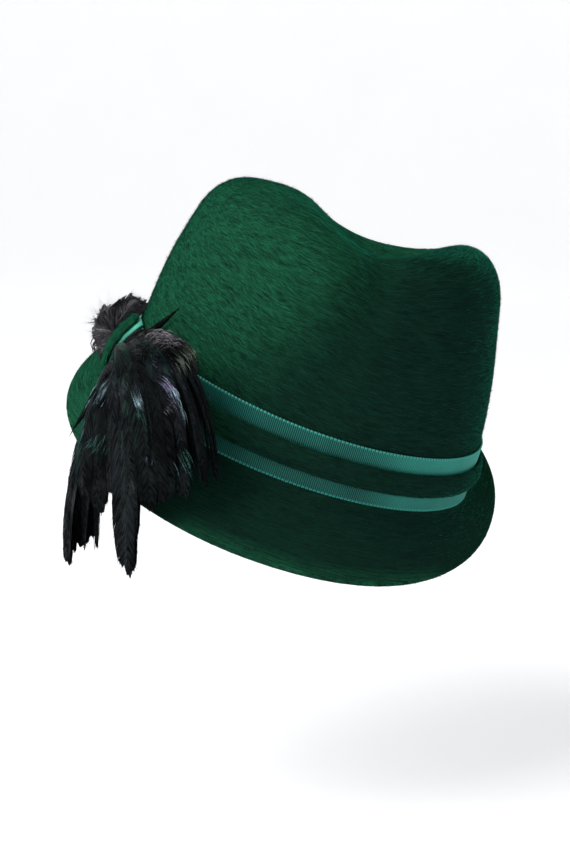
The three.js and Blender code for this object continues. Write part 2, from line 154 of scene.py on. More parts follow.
# Painted highlights: bundles of bright barbs where barbs catch the light, in millimetres, how many barbs
# each has and how bright it is, and the way that they face. The places were found beforehand, by rays from
# the camera onto the feathers, so they don't follow a lock that is changed.
Gleam = namedtuple("Gleam", "top middle bottom spread barbs sheen strength")
GLEAM_FACING = (-0.5, -0.85, 0.15)
GLEAMS = (
    Gleam((-111.4, -14.5, 32.2), (-115.0, -12.2, 25.5), (-117.6, -8.0, 17.3), 1.6, 28, "blue", 2.0),
    Gleam((-115.6, -50.6, 35.6), (-114.3, -54.0, 27.1), (-115.3, -64.5, 19.1), 1.1, 18, "blue", 2.8),
    Gleam((-117.4, -58.5, 25.5), (-116.8, -61.3, 21.2), (-116.0, -61.7, 15.6), 1.2, 9, "teal", 2.2),
    Gleam((-106.8, -58.6, 37.9), (-104.7, -68.1, 32.7), (-100.8, -73.4, 20.1), 1.1, 16, "violet", 2.4),
    Gleam((-105.2, -62.3, 36.8), (-104.1, -69.1, 32.8), (-102.9, -72.2, 25.4), 0.7, 12, "blue", 3.0),
    Gleam((-104.3, -70.4, 31.0), (-102.6, -74.7, 24.6), (-100.7, -75.0, 14.8), 0.6, 7, "blue", 1.6),
    Gleam((-104.4, -49.1, 45.2), (-100.9, -53.8, 41.9), (-100.9, -65.8, 36.4), 2.0, 22, "violet", 1.5),
    Gleam((-94.4, -50.8, 52.0), (-92.6, -60.2, 47.5), (-93.5, -69.6, 41.0), 3.0, 50, "bronze", 1.4),
    Gleam((-104.4, -74.2, 7.0), (-102.7, -79.0, 1.0), (-100.2, -80.9, -7.3), 2.2, 16, "teal", 1.6),
    Gleam((-119.0, -24.3, 8.1), (-121.7, -24.4, 3.5), (-123.9, -22.0, -4.4), 2.4, 10, "teal", 1.1),
    Gleam((-120.9, -20.4, 8.7), (-122.6, -14.8, 3.2), (-125.0, -9.7, -0.9), 2.2, 10, "teal", 0.9),
    Gleam((-120.4, -53.4, -0.2), (-120.9, -59.6, -7.7), (-119.2, -61.1, -15.2), 0.7, 5, "bronze", 0.5),
    Gleam((-117.0, -65.4, 3.9), (-116.8, -66.8, 1.2), (-116.8, -67.7, -2.4), 0.8, 5, "violet", 0.5),
    Gleam((-108.3, -65.1, 28.0), (-105.8, -66.0, 24.9), (-103.8, -68.9, 22.0), 1.2, 10, "grey", 1.0),
    Gleam((-111.6, -25.1, 32.6), (-114.9, -36.1, 30.3), (-115.4, -40.7, 26.1), 1.8, 12, "violet", 0.5),
    Gleam((-102.6, -37.9, 49.7), (-97.4, -43.0, 55.0), (-93.8, -58.3, 54.4), 1.4, 22, "grey", 2.0),
    Gleam((-102.6, -41.9, 46.6), (-98.7, -53.1, 53.0), (-91.9, -60.8, 47.9), 1.8, 18, "grey", 1.3),
    Gleam((-105.7, -28.5, 46.0), (-103.3, -32.8, 48.8), (-99.9, -41.0, 48.0), 1.8, 8, "grey", 0.5),
    Gleam((-98.8, -43.0, 55.6), (-96.6, -50.0, 56.0), (-93.7, -60.0, 53.1), 0.9, 14, "grey", 2.2),
)
CURLED_GLEAM = Gleam((-78.5, 62.0, 46.5), (-80.3, 65.0, 41.5), (-79.2, 66.0, 36.5), 1.5, 18, "pale", 0.8)


# Settings


def colour(name, description, default):
    return FloatVectorProperty(
        name=name, description=description, default=default, subtype="COLOR", min=0.0, max=1.0
    )


def amount(name, description, default, **kind):
    return FloatProperty(name=name, description=description, default=default, **kind)


def length(name, description, default):
    return amount(name, description, default, min=0.0, unit="LENGTH", precision=5)


def whole(name, description, default, least=0):
    return IntProperty(name=name, description=description, default=default, min=least)


class FeltSettings(bpy.types.PropertyGroup):
    # Lit nap and shaded nap are painted light and painted shade: lit and shaded copies of the felt's
    # green, chosen by how the nap is brushed. Deep nap is the felt's darkest green, which the painted
    # shade also uses.
    lit: colour("Lit nap", "Nap that is brushed towards the light", (0.018, 0.150, 0.070))
    deep: colour("Deep nap", "Felt down in the nap", (0.0042, 0.0125, 0.0105))
    shaded: colour("Shaded nap", "Nap that is brushed away from the light", (0.0068, 0.0350, 0.0270))
    hair_length: length("Hair length", "Usual length of a hair of the nap", 6.8 * MM)
    hair_width: length("Hair width", "Width of a hair at its root", 0.2 * MM)
    crown_hairs: whole("Crown hairs", "Hairs on the crown", 165000)
    brim_hairs: whole("Brim hairs", "Hairs on the brim", 120000)
    strip_hairs: whole("Strip hairs", "Hairs on the felt strip", 40000)


class RibbonSettings(bpy.types.PropertyGroup):
    rib: colour("Rib", "Colour on top of the ribs", (0.045, 0.42, 0.34))
    # Groove is painted shade between the ribs.
    shaded_groove: colour("Groove", "Colour between the ribs", (0.002, 0.022, 0.018))
    # Fold is a lit copy of the ribbon's colour: painted light.
    lit_fold: colour("Fold", "Colour of the loop, where light falls on it", (0.10, 0.52, 0.37))
    edge: colour("Edge", "Colour of the small loops along the edges", (0.27, 0.47, 0.38))
    pitch: length("Rib pitch", "Distance from one rib to the next", 1.02 * MM)
    height: length("Rib height", "How far a rib stands up", 0.2 * MM)


class FeatherSettings(bpy.types.PropertyGroup):
    dark: colour("Dark", "Black of the hanging feathers", (0.0135, 0.0165, 0.0185))
    brown: colour("Brown black", "Black of the short feathers over them", (0.105, 0.098, 0.100))
    # The sheens tint the feathers' metallic barbs, and they are also painted sheen and painted highlights
    # in the feathers' colour.
    blue: colour("Blue sheen", "Sheen of the rear tails and of glossy patches", (0.30, 0.44, 0.50))
    teal: colour("Teal sheen", "Sheen of two locks and of low glossy patches", (0.09, 0.26, 0.23))
    green: colour("Green sheen", "Sheen of the middle and brim feathers", (0.05, 0.13, 0.09))
    violet: colour("Violet sheen", "Sheen of a short lock and of glossy patches", (0.33, 0.31, 0.50))
    bronze: colour("Bronze sheen", "Grey-green sheen of the short feathers", (0.23, 0.29, 0.22))
    shade: colour("Grey shade", "Curled feathers where they are darkest", (0.072, 0.070, 0.079))
    # Grey is also painted highlights on the hanging feathers.
    grey: colour("Grey", "Curled feathers, and pale patches of the others", (0.34, 0.325, 0.365))
    # Pale is also a painted highlight on the curled plume.
    pale: colour("Pale grey", "Paler curled feathers", (0.48, 0.42, 0.48))
    rows: whole("Rows", "Rows of faces along a feather", 30, 8)
    barbs: whole("Barbs", "Loose barbs along each edge of a feather", 80, 8)
    strands: whole("Strands", "Loose strands over the hanging plume", 2200)


class StageSettings(bpy.types.PropertyGroup):
    azimuth: amount("Azimuth", "Side that the camera looks from", math.radians(-30), subtype="ANGLE")
    elevation: amount("Elevation", "Camera's height as an angle", math.radians(8.4), subtype="ANGLE")
    distance: length("Distance", "From the camera to the middle of the head opening", 1.0437)
    floor: amount("Floor", "Height of the floor", -0.175, unit="LENGTH", precision=4)
    key: amount("Key light", "Power of the main light", 46.0, unit="POWER")
    fill: amount("Fill light", "Power of the fill light", 5.0, unit="POWER")
    surround: amount("Surround", "Strength of the pale light all round", 0.35, subtype="FACTOR")
    glow: amount("Glow", "Light that the backdrop gives", 0.36, subtype="FACTOR")


# Shader maths


class Wire:
    """A socket of a material's nodes that takes Python's own maths."""

    def __init__(self, shader, socket):
        self.shader = shader
        self.socket = socket

    def maths(self, operation, *values):
        return self.shader.node("ShaderNodeMath", {"operation": operation}, dict(enumerate(values)))

    def __add__(self, other):
        return self.maths("ADD", self, other)

    def __radd__(self, other):
        return self.maths("ADD", other, self)

    def __sub__(self, other):
        return self.maths("SUBTRACT", self, other)

    def __rsub__(self, other):
        return self.maths("SUBTRACT", other, self)

    def __mul__(self, other):
        return self.maths("MULTIPLY", self, other)

    def __rmul__(self, other):
        return self.maths("MULTIPLY", other, self)


class Shader:
    """A material whose principled surface is fed from its nodes."""

    def __init__(self, name, **constants):
        self.material = bpy.data.materials.new(name)
        self.material.use_nodes = True
        self.tree = self.material.node_tree
        self.surface = self.tree.nodes["Principled BSDF"]
        for socket, value in constants.items():
            self.surface.inputs[socket.replace("_", " ")].default_value = value

    def node(self, kind, settings=None, inputs=None, output=0):
        """Adds a node, sets it up and wires it, and gives back one of its outputs."""
        made = self.tree.nodes.new(kind)
        for name, value in (settings or {}).items():
            setattr(made, name, value)
        for name, value in (inputs or {}).items():
            self.join(value, made.inputs[name])
        return Wire(self, made.outputs[output])

    def join(self, value, socket):
        if isinstance(value, Wire):
            self.tree.links.new(value.socket, socket)
        elif socket.type == "RGBA" and len(value) == 3:
            socket.default_value = (*value, 1.0)
        else:
            socket.default_value = value

    def feed(self, socket, value):
        self.join(value, self.surface.inputs[socket])

    def attribute(self, name, output="Vector"):
        return self.node("ShaderNodeAttribute", {"attribute_name": name}, output=output)

    def place(self):
        return self.node("ShaderNodeTexCoord", output="Object")

    def scaled(self, vector, scale):
        return self.node("ShaderNodeMapping", inputs={"Vector": vector, "Scale": scale})

    def noise(self, vector, scale, detail=2.0, roughness=0.5):
        inputs = {"Vector": vector, "Scale": scale, "Detail": detail, "Roughness": roughness}
        return self.node("ShaderNodeTexNoise", inputs=inputs)

    def spread(self, value, low, high):
        """Brings a value that runs from low to high to the range from 0 to 1."""
        inputs = {"Value": value, "From Min": low, "From Max": high}
        return self.node("ShaderNodeMapRange", inputs=inputs)

    def blend(self, factor, first, second):
        inputs = {0: factor, 6: first, 7: second}
        return self.node("ShaderNodeMix", {"data_type": "RGBA"}, inputs, output=2)

    def bump(self, height, distance, strength):
        inputs = {"Height": height, "Distance": distance, "Strength": strength}
        self.feed("Normal", self.node("ShaderNodeBump", inputs=inputs))


def felt_material(settings):
    """Felt under its nap: fine streaks along the nap, and broad painted light and shade by how it is
    brushed.
    """
    shader = Shader(
        "long_nap_felt", Roughness=0.9, Specular_IOR_Level=0.0, Sheen_Weight=0.1, Sheen_Roughness=0.3
    )
    shader.surface.inputs["Sheen Tint"].default_value = (0.03, 0.6, 0.35, 1.0)
    nap = shader.attribute("nap")
    streaks = shader.noise(shader.scaled(nap, (90, 90, 1400)), 1.0, 4.0, 0.6)
    tufts = shader.noise(shader.scaled(nap, (55, 55, 260)), 1.0, 3.0, 0.55)
    brushed = shader.attribute("brushed", "Fac")
    # Painted light and shade: the streaks are lighter where the nap is brushed towards the light.
    light = shader.spread(streaks * 0.85 + tufts * 0.15, 0.3, 0.72) * (0.15 + 0.75 * brushed)
    shader.feed("Base Color", shader.blend(light, settings.deep, settings.lit))
    shader.bump(streaks * 0.8 + tufts * 0.2, 0.4 * MM, 0.6)
    return shader.material


def hair_material(settings):
    """The nap's hairs: each has its own tone, and all carry painted shade where they are brushed away from
    the light and painted light where they are brushed towards it.
    """
    shader = Shader(
        "nap_hair", Roughness=0.8, Specular_IOR_Level=0.0, Sheen_Weight=0.35, Sheen_Roughness=0.25
    )
    shader.surface.inputs["Sheen Tint"].default_value = (0.05, 0.75, 0.45, 1.0)
    tone = shader.attribute("tone", "Fac")
    brushed = shader.attribute("brushed", "Fac")
    lit, deep = Vector(settings.lit), Vector(settings.deep)
    # Painted shade on hairs brushed away from the light, painted light on those brushed towards it.
    away = shader.blend(tone, deep * 0.9, settings.shaded)
    towards = shader.blend(tone, deep * 1.1, lit * 1.25)
    shader.feed("Base Color", shader.blend(brushed, away, towards))
    return shader.material


def ribbon_material(settings, name, bright):
    """Ribbed ribbon: bright on the ribs, with painted shade between them, and a faint weave across; the
    rib attribute also carries painted light and shade.
    """
    shader = Shader(name, Roughness=0.5, Specular_IOR_Level=0.1)
    rib = shader.attribute("rib", "Fac")
    weave = shader.noise(shader.scaled(shader.place(), (1500, 1500, 1500)), 1.0, 2.0)
    wear = shader.noise(shader.place(), 45.0, 3.0)
    # Painted shade between the ribs, and the painted light and shade that the rib attribute carries.
    shade = rib * (0.8 + 0.4 * weave) + 0.2 * wear - 0.1
    body = shader.blend(shade, settings.shaded_groove, bright)
    shader.feed("Base Color", shader.blend(shader.spread(rib, 1.0, 1.8), body, settings.edge))
    shader.bump(weave, 0.12 * MM, 0.5)
    return shader.material


def feather_material(name, gap):
    """Feather: dark between its barbs, which catch the light in their own tint; that tint carries painted
    sheen and painted highlights.
    """
    shader = Shader(name, Specular_IOR_Level=0.0)
    vane = shader.attribute("vane")
    tint = shader.attribute("tint", "Color")
    barbs = shader.noise(shader.scaled(vane, (58, 1.0, 1)), 1.0, 4.0, 0.7)
    patches = shader.noise(shader.place(), 70.0, 3.0)
    shine = shader.attribute("shine", "Fac")
    shown = shader.spread(barbs * 0.8 + patches * 0.3, 0.48, 0.68)
    shader.feed("Base Color", shader.blend(shown, gap, tint))
    shader.feed("Roughness", 0.5 - 0.14 * shine)
    shader.feed("Metallic", shown * 0.7)
    shader.bump(barbs, 0.6 * MM, 0.7)
    return shader.material


# Meshes


def finished(name, mesh, material, replaced=()):
    """Puts a mesh into the scene as a piece of the hat."""
    mesh.materials.append(material)
    piece = bpy.data.objects.new(name, mesh)
    bpy.context.scene.collection.objects.link(piece)
    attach(piece, "root")
    if replaced:
        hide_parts(*replaced)
    return piece


def merged_copy(node):
    """The node's mesh with its loose triangles merged and paired into four-sided faces."""
    shape = bmesh.new()
    shape.from_mesh(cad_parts[node].data)
    bmesh.ops.remove_doubles(shape, verts=shape.verts, dist=SAME_PLACE)
    bmesh.ops.join_triangles(
        shape,
        faces=shape.faces,
        angle_face_threshold=math.radians(50),
        angle_shape_threshold=math.radians(100),
    )
    for face in shape.faces:
        face.smooth = True
    return shape


def mesh_from(shape, name):
    mesh = bpy.data.meshes.new(name)
    shape.to_mesh(mesh)
    shape.free()
    return mesh


def places_of(mesh):
    places = np.zeros(len(mesh.vertices) * 3)
    mesh.vertices.foreach_get("co", places)
    return places.reshape(-1, 3)


def store(mesh, name, values):
    """Keeps a number, or three, for each vertex."""
    values = np.asarray(values, np.float32)
    kind = "FLOAT" if values.ndim == 1 else "FLOAT_VECTOR"
    attribute = mesh.attributes.new(name, kind, "POINT")
    attribute.data.foreach_set("value" if values.ndim == 1 else "vector", values.ravel())


def own_frame(places):
    """Places or directions in the hat's own frame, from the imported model's."""
    return places @ SLANT


def packed_frame(places):
    return places @ SLANT.T


def around(own):
    """Angle around the head oval from the front, towards the wearer's left."""
    return np.arctan2(own[:, 0] / HEAD[0], -own[:, 1] / HEAD[1])


def share_out(own):
    """Distance from the hat's middle as a share of the head oval."""
    return np.hypot(own[:, 0] / HEAD[0], own[:, 1] / HEAD[1])


def of_brim(own, normals=None):
    """Which places are the brim's, on either of its faces."""
    return (own[:, 2] < BRIM_TOP) & (share_out(own) > 1.0)


def nap_place(own):
    """Place in the nap: two lengths around the hat, and one across the way it is brushed."""
    angle = around(own)
    across = own[:, 2] - ROUND * share_out(own)
    return np.stack([ROUND * np.sin(angle), -ROUND * np.cos(angle), across], -1)


def painted_nap_light(own):
    """How much painted light the nap carries, from 0 for painted shade to 1 for painted light. It stands
    in for how the brushed nap catches the light: lit on the wearer's right and behind, not in front. It
    also paints a highlight on the crown's top, a lighter patch on the strip beside the plume and a little
    more light in front, and takes a little off the brim.

    Turns are in degrees from the front towards the wearer's left, and heights in millimetres.
    """
    turn = np.degrees(around(own))
    height = own[:, 2] / MM
    edge = -62 + 0.4 * (height - 36)
    right = 0.5 - 0.5 * np.tanh((turn - edge) / 13)
    left = 0.45 + 0.45 * np.tanh((turn - 75) / 25)
    # Painted highlight on the crown's top, and painted light beside the plume and in front.
    top = np.clip((height - 104) / 16, 0, 1)
    by_plume = 0.35 * np.exp(-(((turn + 61) / 6) ** 2)) * (np.abs(height - 18) < 9)
    front = 0.07 * np.clip((5 - turn) / 30, 0, 1)
    light = np.clip(0.02 + np.maximum(right, left) + 0.2 * top + by_plume + front, 0, 1)
    return light - 0.05 * of_brim(own)


def tufts(own, long, wide, seed):
    """A number from 0 to 1 for each place, the same all over a tuft that lies along the nap."""
    along = around(own) * ROUND / long
    across = nap_place(own)[:, 2] / wide
    row = np.floor(across + 0.45 * np.sin(along * 1.7 + seed))
    cell = np.floor(along + row * 0.618)
    # The fraction of a large sine is as good as drawn by chance, and is the same for the same cell.
    mixed = np.sin(row * 127.1 + cell * 311.7 + seed) * 43758.5453
    return mixed - np.floor(mixed)


def dress(mesh):
    """Gives a felt mesh what its material reads."""
    own = own_frame(places_of(mesh))
    normals = np.zeros(len(mesh.vertices) * 3)
    mesh.vertices.foreach_get("normal", normals)
    normals = own_frame(normals.reshape(-1, 3))
    angle = around(own)
    outward = np.sin(angle) * normals[:, 0] - np.cos(angle) * normals[:, 1]
    # Painted highlight: the brim's outer edge, where it faces out and not up, is made lighter in the
    # felt's colour.
    rim = of_brim(own) & (share_out(own) > 1.06) & (outward > 0.3) & (normals[:, 2] < 0.2)
    store(mesh, "nap", nap_place(own))
    store(mesh, "brushed", painted_nap_light(own) + 0.7 * rim)


def felt_piece(name, node, felt, levels):
    """A felt piece made from the node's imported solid, smoothed."""
    mesh = mesh_from(merged_copy(node), name)
    dress(mesh)
    piece = finished(name, mesh, felt, [node])
    smooth = piece.modifiers.new("smooth", "SUBSURF")
    smooth.levels = levels
    smooth.render_levels = levels
    return piece


def scattered(piece, count, seed, keep):
    """Places spread evenly over the piece's faces that are kept, with the normals there."""
    graph = bpy.context.evaluated_depsgraph_get()
    shown = piece.evaluated_get(graph)
    mesh = shown.to_mesh()
    mesh.calc_loop_triangles()
    corners = np.zeros(len(mesh.loop_triangles) * 3, np.int32)
    mesh.loop_triangles.foreach_get("vertices", corners)
    places = places_of(mesh)[corners.reshape(-1, 3)]
    shown.to_mesh_clear()
    edges = places[:, 1:] - places[:, :1]
    normals = np.cross(edges[:, 0], edges[:, 1])
    areas = np.linalg.norm(normals, axis=1)
    normals /= np.maximum(areas, 1e-12)[:, None]
    areas = areas * keep(own_frame(places.mean(1)), own_frame(normals))
    chance = np.random.default_rng(seed)
    faces = chance.choice(len(areas), count, p=areas / areas.sum())
    first, second = chance.random((2, count))
    # A place past a triangle's long side is folded back into it.
    folded = first + second > 1
    first[folded], second[folded] = 1 - first[folded], 1 - second[folded]
    spots = places[faces, 0] + edges[faces, 0] * first[:, None] + edges[faces, 1] * second[:, None]
    return spots, normals[faces]


def unit(vectors):
    return vectors / np.maximum(np.linalg.norm(vectors, axis=-1, keepdims=True), 1e-12)


def brushed_way(spots, normals, slope):
    """Direction of the nap: around the hat towards the wearer's left, and somewhat down."""
    own = own_frame(spots)
    angle = around(own)
    level = np.stack([HEAD[0] * np.cos(angle), HEAD[1] * np.sin(angle), 0 * angle], -1)
    way = packed_frame(unit(level))
    way = unit(way - normals * (way * normals).sum(-1, keepdims=True))
    down = packed_frame(np.tile([0.0, 0.0, -1.0], (len(own), 1)))
    outward = packed_frame(np.stack([np.sin(angle), -np.cos(angle), 0 * angle], -1))
    down = unit(down + 0.4 * outward)
    down = unit(down - normals * (down * normals).sum(-1, keepdims=True))
    return unit(way + down * slope[:, None])


def blade(rows):
    """A flat hair along +Y, one unit long and wide, in some rows, that narrows to a point."""
    shape = bmesh.new()
    root = [shape.verts.new((side, 0, 0)) for side in (-0.5, 0.5)]
    edge = [shape.edges.new(root)]
    for row in range(1, rows):
        made = bmesh.ops.extrude_edge_only(shape, edges=edge)["geom"]
        ends = [item for item in made if isinstance(item, bmesh.types.BMVert)]
        edge = [item for item in made if isinstance(item, bmesh.types.BMEdge)]
        for end in ends:
            end.co.y = row / rows
            end.co.x *= (1 - row / rows) / (1 - (row - 1) / rows)
    last = list(edge[0].verts)
    tip = shape.verts.new((0, 1, 0))
    shape.faces.new([last[0], last[1], tip])
    return mesh_from(shape, "blade")


def hairs(name, spots, normals, way, size, width, lift, tone, seed, rows):
    """Hairs that grow at the spots along the brushed way, each rolled a little about itself."""
    template = blade(rows)
    corners = places_of(template)
    faces = [list(face.vertices) for face in template.polygons]
    bpy.data.meshes.remove(template)
    chance = np.random.default_rng(seed)
    own = own_frame(spots)
    sway = chance.normal(0, 0.15, len(spots)) + 0.14 * (tufts(own, 12 * MM, 2.4 * MM, 4.0) - 0.5)
    side = np.cross(way, normals)
    along = unit(way + side * sway[:, None] + normals * lift[:, None])
    flat = unit(np.cross(along, normals))
    face = np.cross(flat, along)
    roll = chance.normal(0, 0.3, len(spots))
    flat = flat * np.cos(roll)[:, None] + face * np.sin(roll)[:, None]
    share = corners[:, 1]
    places = (
        spots[:, None]
        - normals[:, None] * ROOT_DEPTH
        + flat[:, None] * (corners[:, 0] * width)[None, :, None]
        + along[:, None] * (share[None] * size[:, None])[..., None]
        - normals[:, None] * (share[None] ** 2 * (DROOP * size)[:, None])[..., None]
    )
    step = np.arange(len(spots))[:, None] * len(corners)
    polygons = [row for polygon in faces for row in (step + np.array(polygon)).tolist()]
    mesh = bpy.data.meshes.new(name)
    mesh.from_pydata(places.reshape(-1, 3), [], polygons)
    # Painted light and shade of the nap, which the hair material reads.
    store(mesh, "brushed", np.repeat(painted_nap_light(own), len(corners)))
    store(mesh, "tone", np.repeat(tone, len(corners)))
    mesh.update()
    leaning = unit(normals + chance.normal(0, 0.22, normals.shape))
    mesh.normals_split_custom_set_from_vertices(np.repeat(leaning, len(corners), axis=0))
    return finished(name, mesh, bpy.data.materials["nap_hair"])


# Feathers


def vane_template(rows, columns, barbs):
    """A flat feather from 0 to 1 along X and -1 to 1 across, with loose barbs along both edges.

    Its outer strips are cut apart between the rows, so that they can part there.
    """
    outer_strips = 0.55
    barb_root, barb_tip = 0.85, 1.12
    shape = bmesh.new()
    middle = shape.verts.layers.float.new("middle")
    loose = shape.verts.layers.float.new("loose")
    bmesh.ops.create_grid(shape, x_segments=rows, y_segments=columns, size=1.0)
    cuts = []
    for edge in shape.edges:
        start, end = edge.verts
        crosswise = abs(start.co.x - end.co.x) < 1e-6
        if crosswise and abs(start.co.y + end.co.y) / 2 > outer_strips and abs(start.co.x) < 0.999:
            cuts.append(edge)
    bmesh.ops.split_edges(shape, edges=cuts)
    for vertex in shape.verts:
        centres = [face.calc_center_median().x for face in vertex.link_faces]
        vertex[middle] = (sum(centres) / len(centres) + 1) / 2
    for vertex in shape.verts:
        vertex.co.x = (vertex.co.x + 1) / 2
    for number in range(barbs):
        for side in (-1, 1):
            start = number / barbs
            base = [(start, barb_root), (start + 0.4 / barbs, barb_root)]
            corners = [*base, (start + 0.2 / barbs, barb_tip)]
            made = [shape.verts.new((x, y * side, 0)) for x, y in corners[::side]]
            for vertex in made:
                vertex[middle] = start
                vertex[loose] = 1.0
            shape.faces.new(made)
    return mesh_from(shape, "vane")


def read_template(mesh):
    """The template's points, its rows' middles, which points are loose barbs', and its faces."""
    flat = places_of(mesh)
    layers = []
    for name in ("middle", "loose"):
        values = np.zeros(len(flat))
        mesh.attributes[name].data.foreach_get("value", values)
        layers.append(values)
    faces = [list(face.vertices) for face in mesh.polygons]
    bpy.data.meshes.remove(mesh)
    return flat[:, 0], flat[:, 1], *layers, faces


def curve_places(ends, steps):
    """Places along a cubic curve with four ends."""
    share = np.linspace(0, 1, steps)[:, None]
    back = 1 - share
    near = back**3 * ends[0] + 3 * back**2 * share * ends[1]
    return near + 3 * back * share**2 * ends[2] + share**3 * ends[3]


def carried(places, away):
    """Directions along, across and out of a path, set at its tip and carried back without a twist."""
    along = unit(np.gradient(places, axis=0))
    across = np.zeros_like(along)
    side = np.cross(along[-1], away)
    for step in range(len(places) - 1, -1, -1):
        side = side - along[step] * (along[step] @ side)
        side = side / max(np.linalg.norm(side), 1e-9)
        across[step] = side
    return along, across, np.cross(across, along)


def at_share(table, share):
    """Rows of a table read between its steps, with shares from 0 to 1 along it."""
    steps = np.linspace(0, 1, len(table))
    return np.stack([np.interp(share, steps, table[:, column]) for column in range(3)], -1)


def feather_places(template, path, away, width, chance, kind, twist):
    """Places of a feather's points: the vane bends along the path, and its barbs sweep to the tip."""
    side_groups, side_rows, cup = 20, 1000, 0.16
    share, across, middle, loose = template
    along, sides, faces = carried(path, away)
    span = np.linalg.norm(np.diff(path, axis=0), axis=1).sum()
    out = np.abs(across)
    parts = np.sort(chance.random(kind.parts))
    group = np.searchsorted(parts, middle) + side_groups * (across > 0)
    lean = chance.normal(0, kind.fluff, 2 * side_groups)[group]
    row = np.round(middle * 997).astype(int) + side_rows * (across > 0)
    uneven = chance.normal(0, 1, 2 * side_rows + 1)[row]
    half = width / 2 * np.interp(share, VANE_ALONG, kind.outline)
    loose = loose * kind.fluff
    downy = np.clip(1 - share / 0.22, 0, 1)
    reach = 1 + 0.025 * uneven * (out > 0.9)
    reach = reach + loose * (out > 1) * (0.1 * uneven + 1.2 * downy * np.abs(uneven))
    rounded = 1 - 0.7 * np.clip((share - 0.55) / 0.4, 0, 1)
    sweep = kind.sweep * out**1.2 * half * rounded + lean * 0.45 * MM * (out > 0.6) * out
    where = share * 0.95 + (sweep + loose * (out > 1) * 1.2 * MM) / span
    over = np.clip(where - 1, 0, 0.04) * span
    where = np.clip(where, 0, 1)
    base, a, s, f = (at_share(table, where) for table in (path, along, sides, faces))
    turned = (twist * where)[:, None]
    s, f = s * np.cos(turned) + f * np.sin(turned), f * np.cos(turned) - s * np.sin(turned)
    sunk = cup * half * out**2 + 0.25 * MM * (out > 0.9) * lean - 0.3 * MM * (out < 0.1)
    sunk = sunk + loose * (out > 1) * (0.3 * uneven + 1.5 * downy * uneven) * MM
    return base + a * over[:, None] + s * (across * half * reach)[:, None] - f * sunk[:, None]


def lock_path(root, lock, chance, short, aside=0.25, steps=16):
    """Path of one feather of a lock, near the lock's own."""
    place = np.array(root.place)
    start = place + chance.uniform(-1, 1, 3) * root.spread
    tip = np.array([-lock.to_side, -lock.to_front, -lock.down]) * short
    away = np.array([tip[0] + place[0], tip[1] + place[1], 0.0])
    if root.facing is not None:
        facing = math.radians(root.facing)
        away = np.array([math.sin(facing), -math.cos(facing), 0.0])
    away = away / np.linalg.norm(away)
    side = np.cross([0, 0, 1], away)
    off = chance.normal(0, aside)
    tip = tip * (1 - min(0.35 * off**2, 0.12))
    shift = side * off * lock.width + away * chance.uniform(-0.5, 2.2)
    bowed = np.array([-lock.bow, -0.5 * lock.to_front, lock.lift])
    first = start + bowed * (0.5 + 0.5 * short) + shift * 0.5
    first += chance.normal(0, 1.3, 3)
    to_side, to_front = lock.to_side * root.reach, lock.to_front * root.reach
    second = start + [-to_side - 2, -to_front, lock.lift - 0.3 * lock.down]
    second = start + (second - start) * short + shift
    return curve_places(np.array([start, first, second, place + tip + shift]), steps) * MM, away


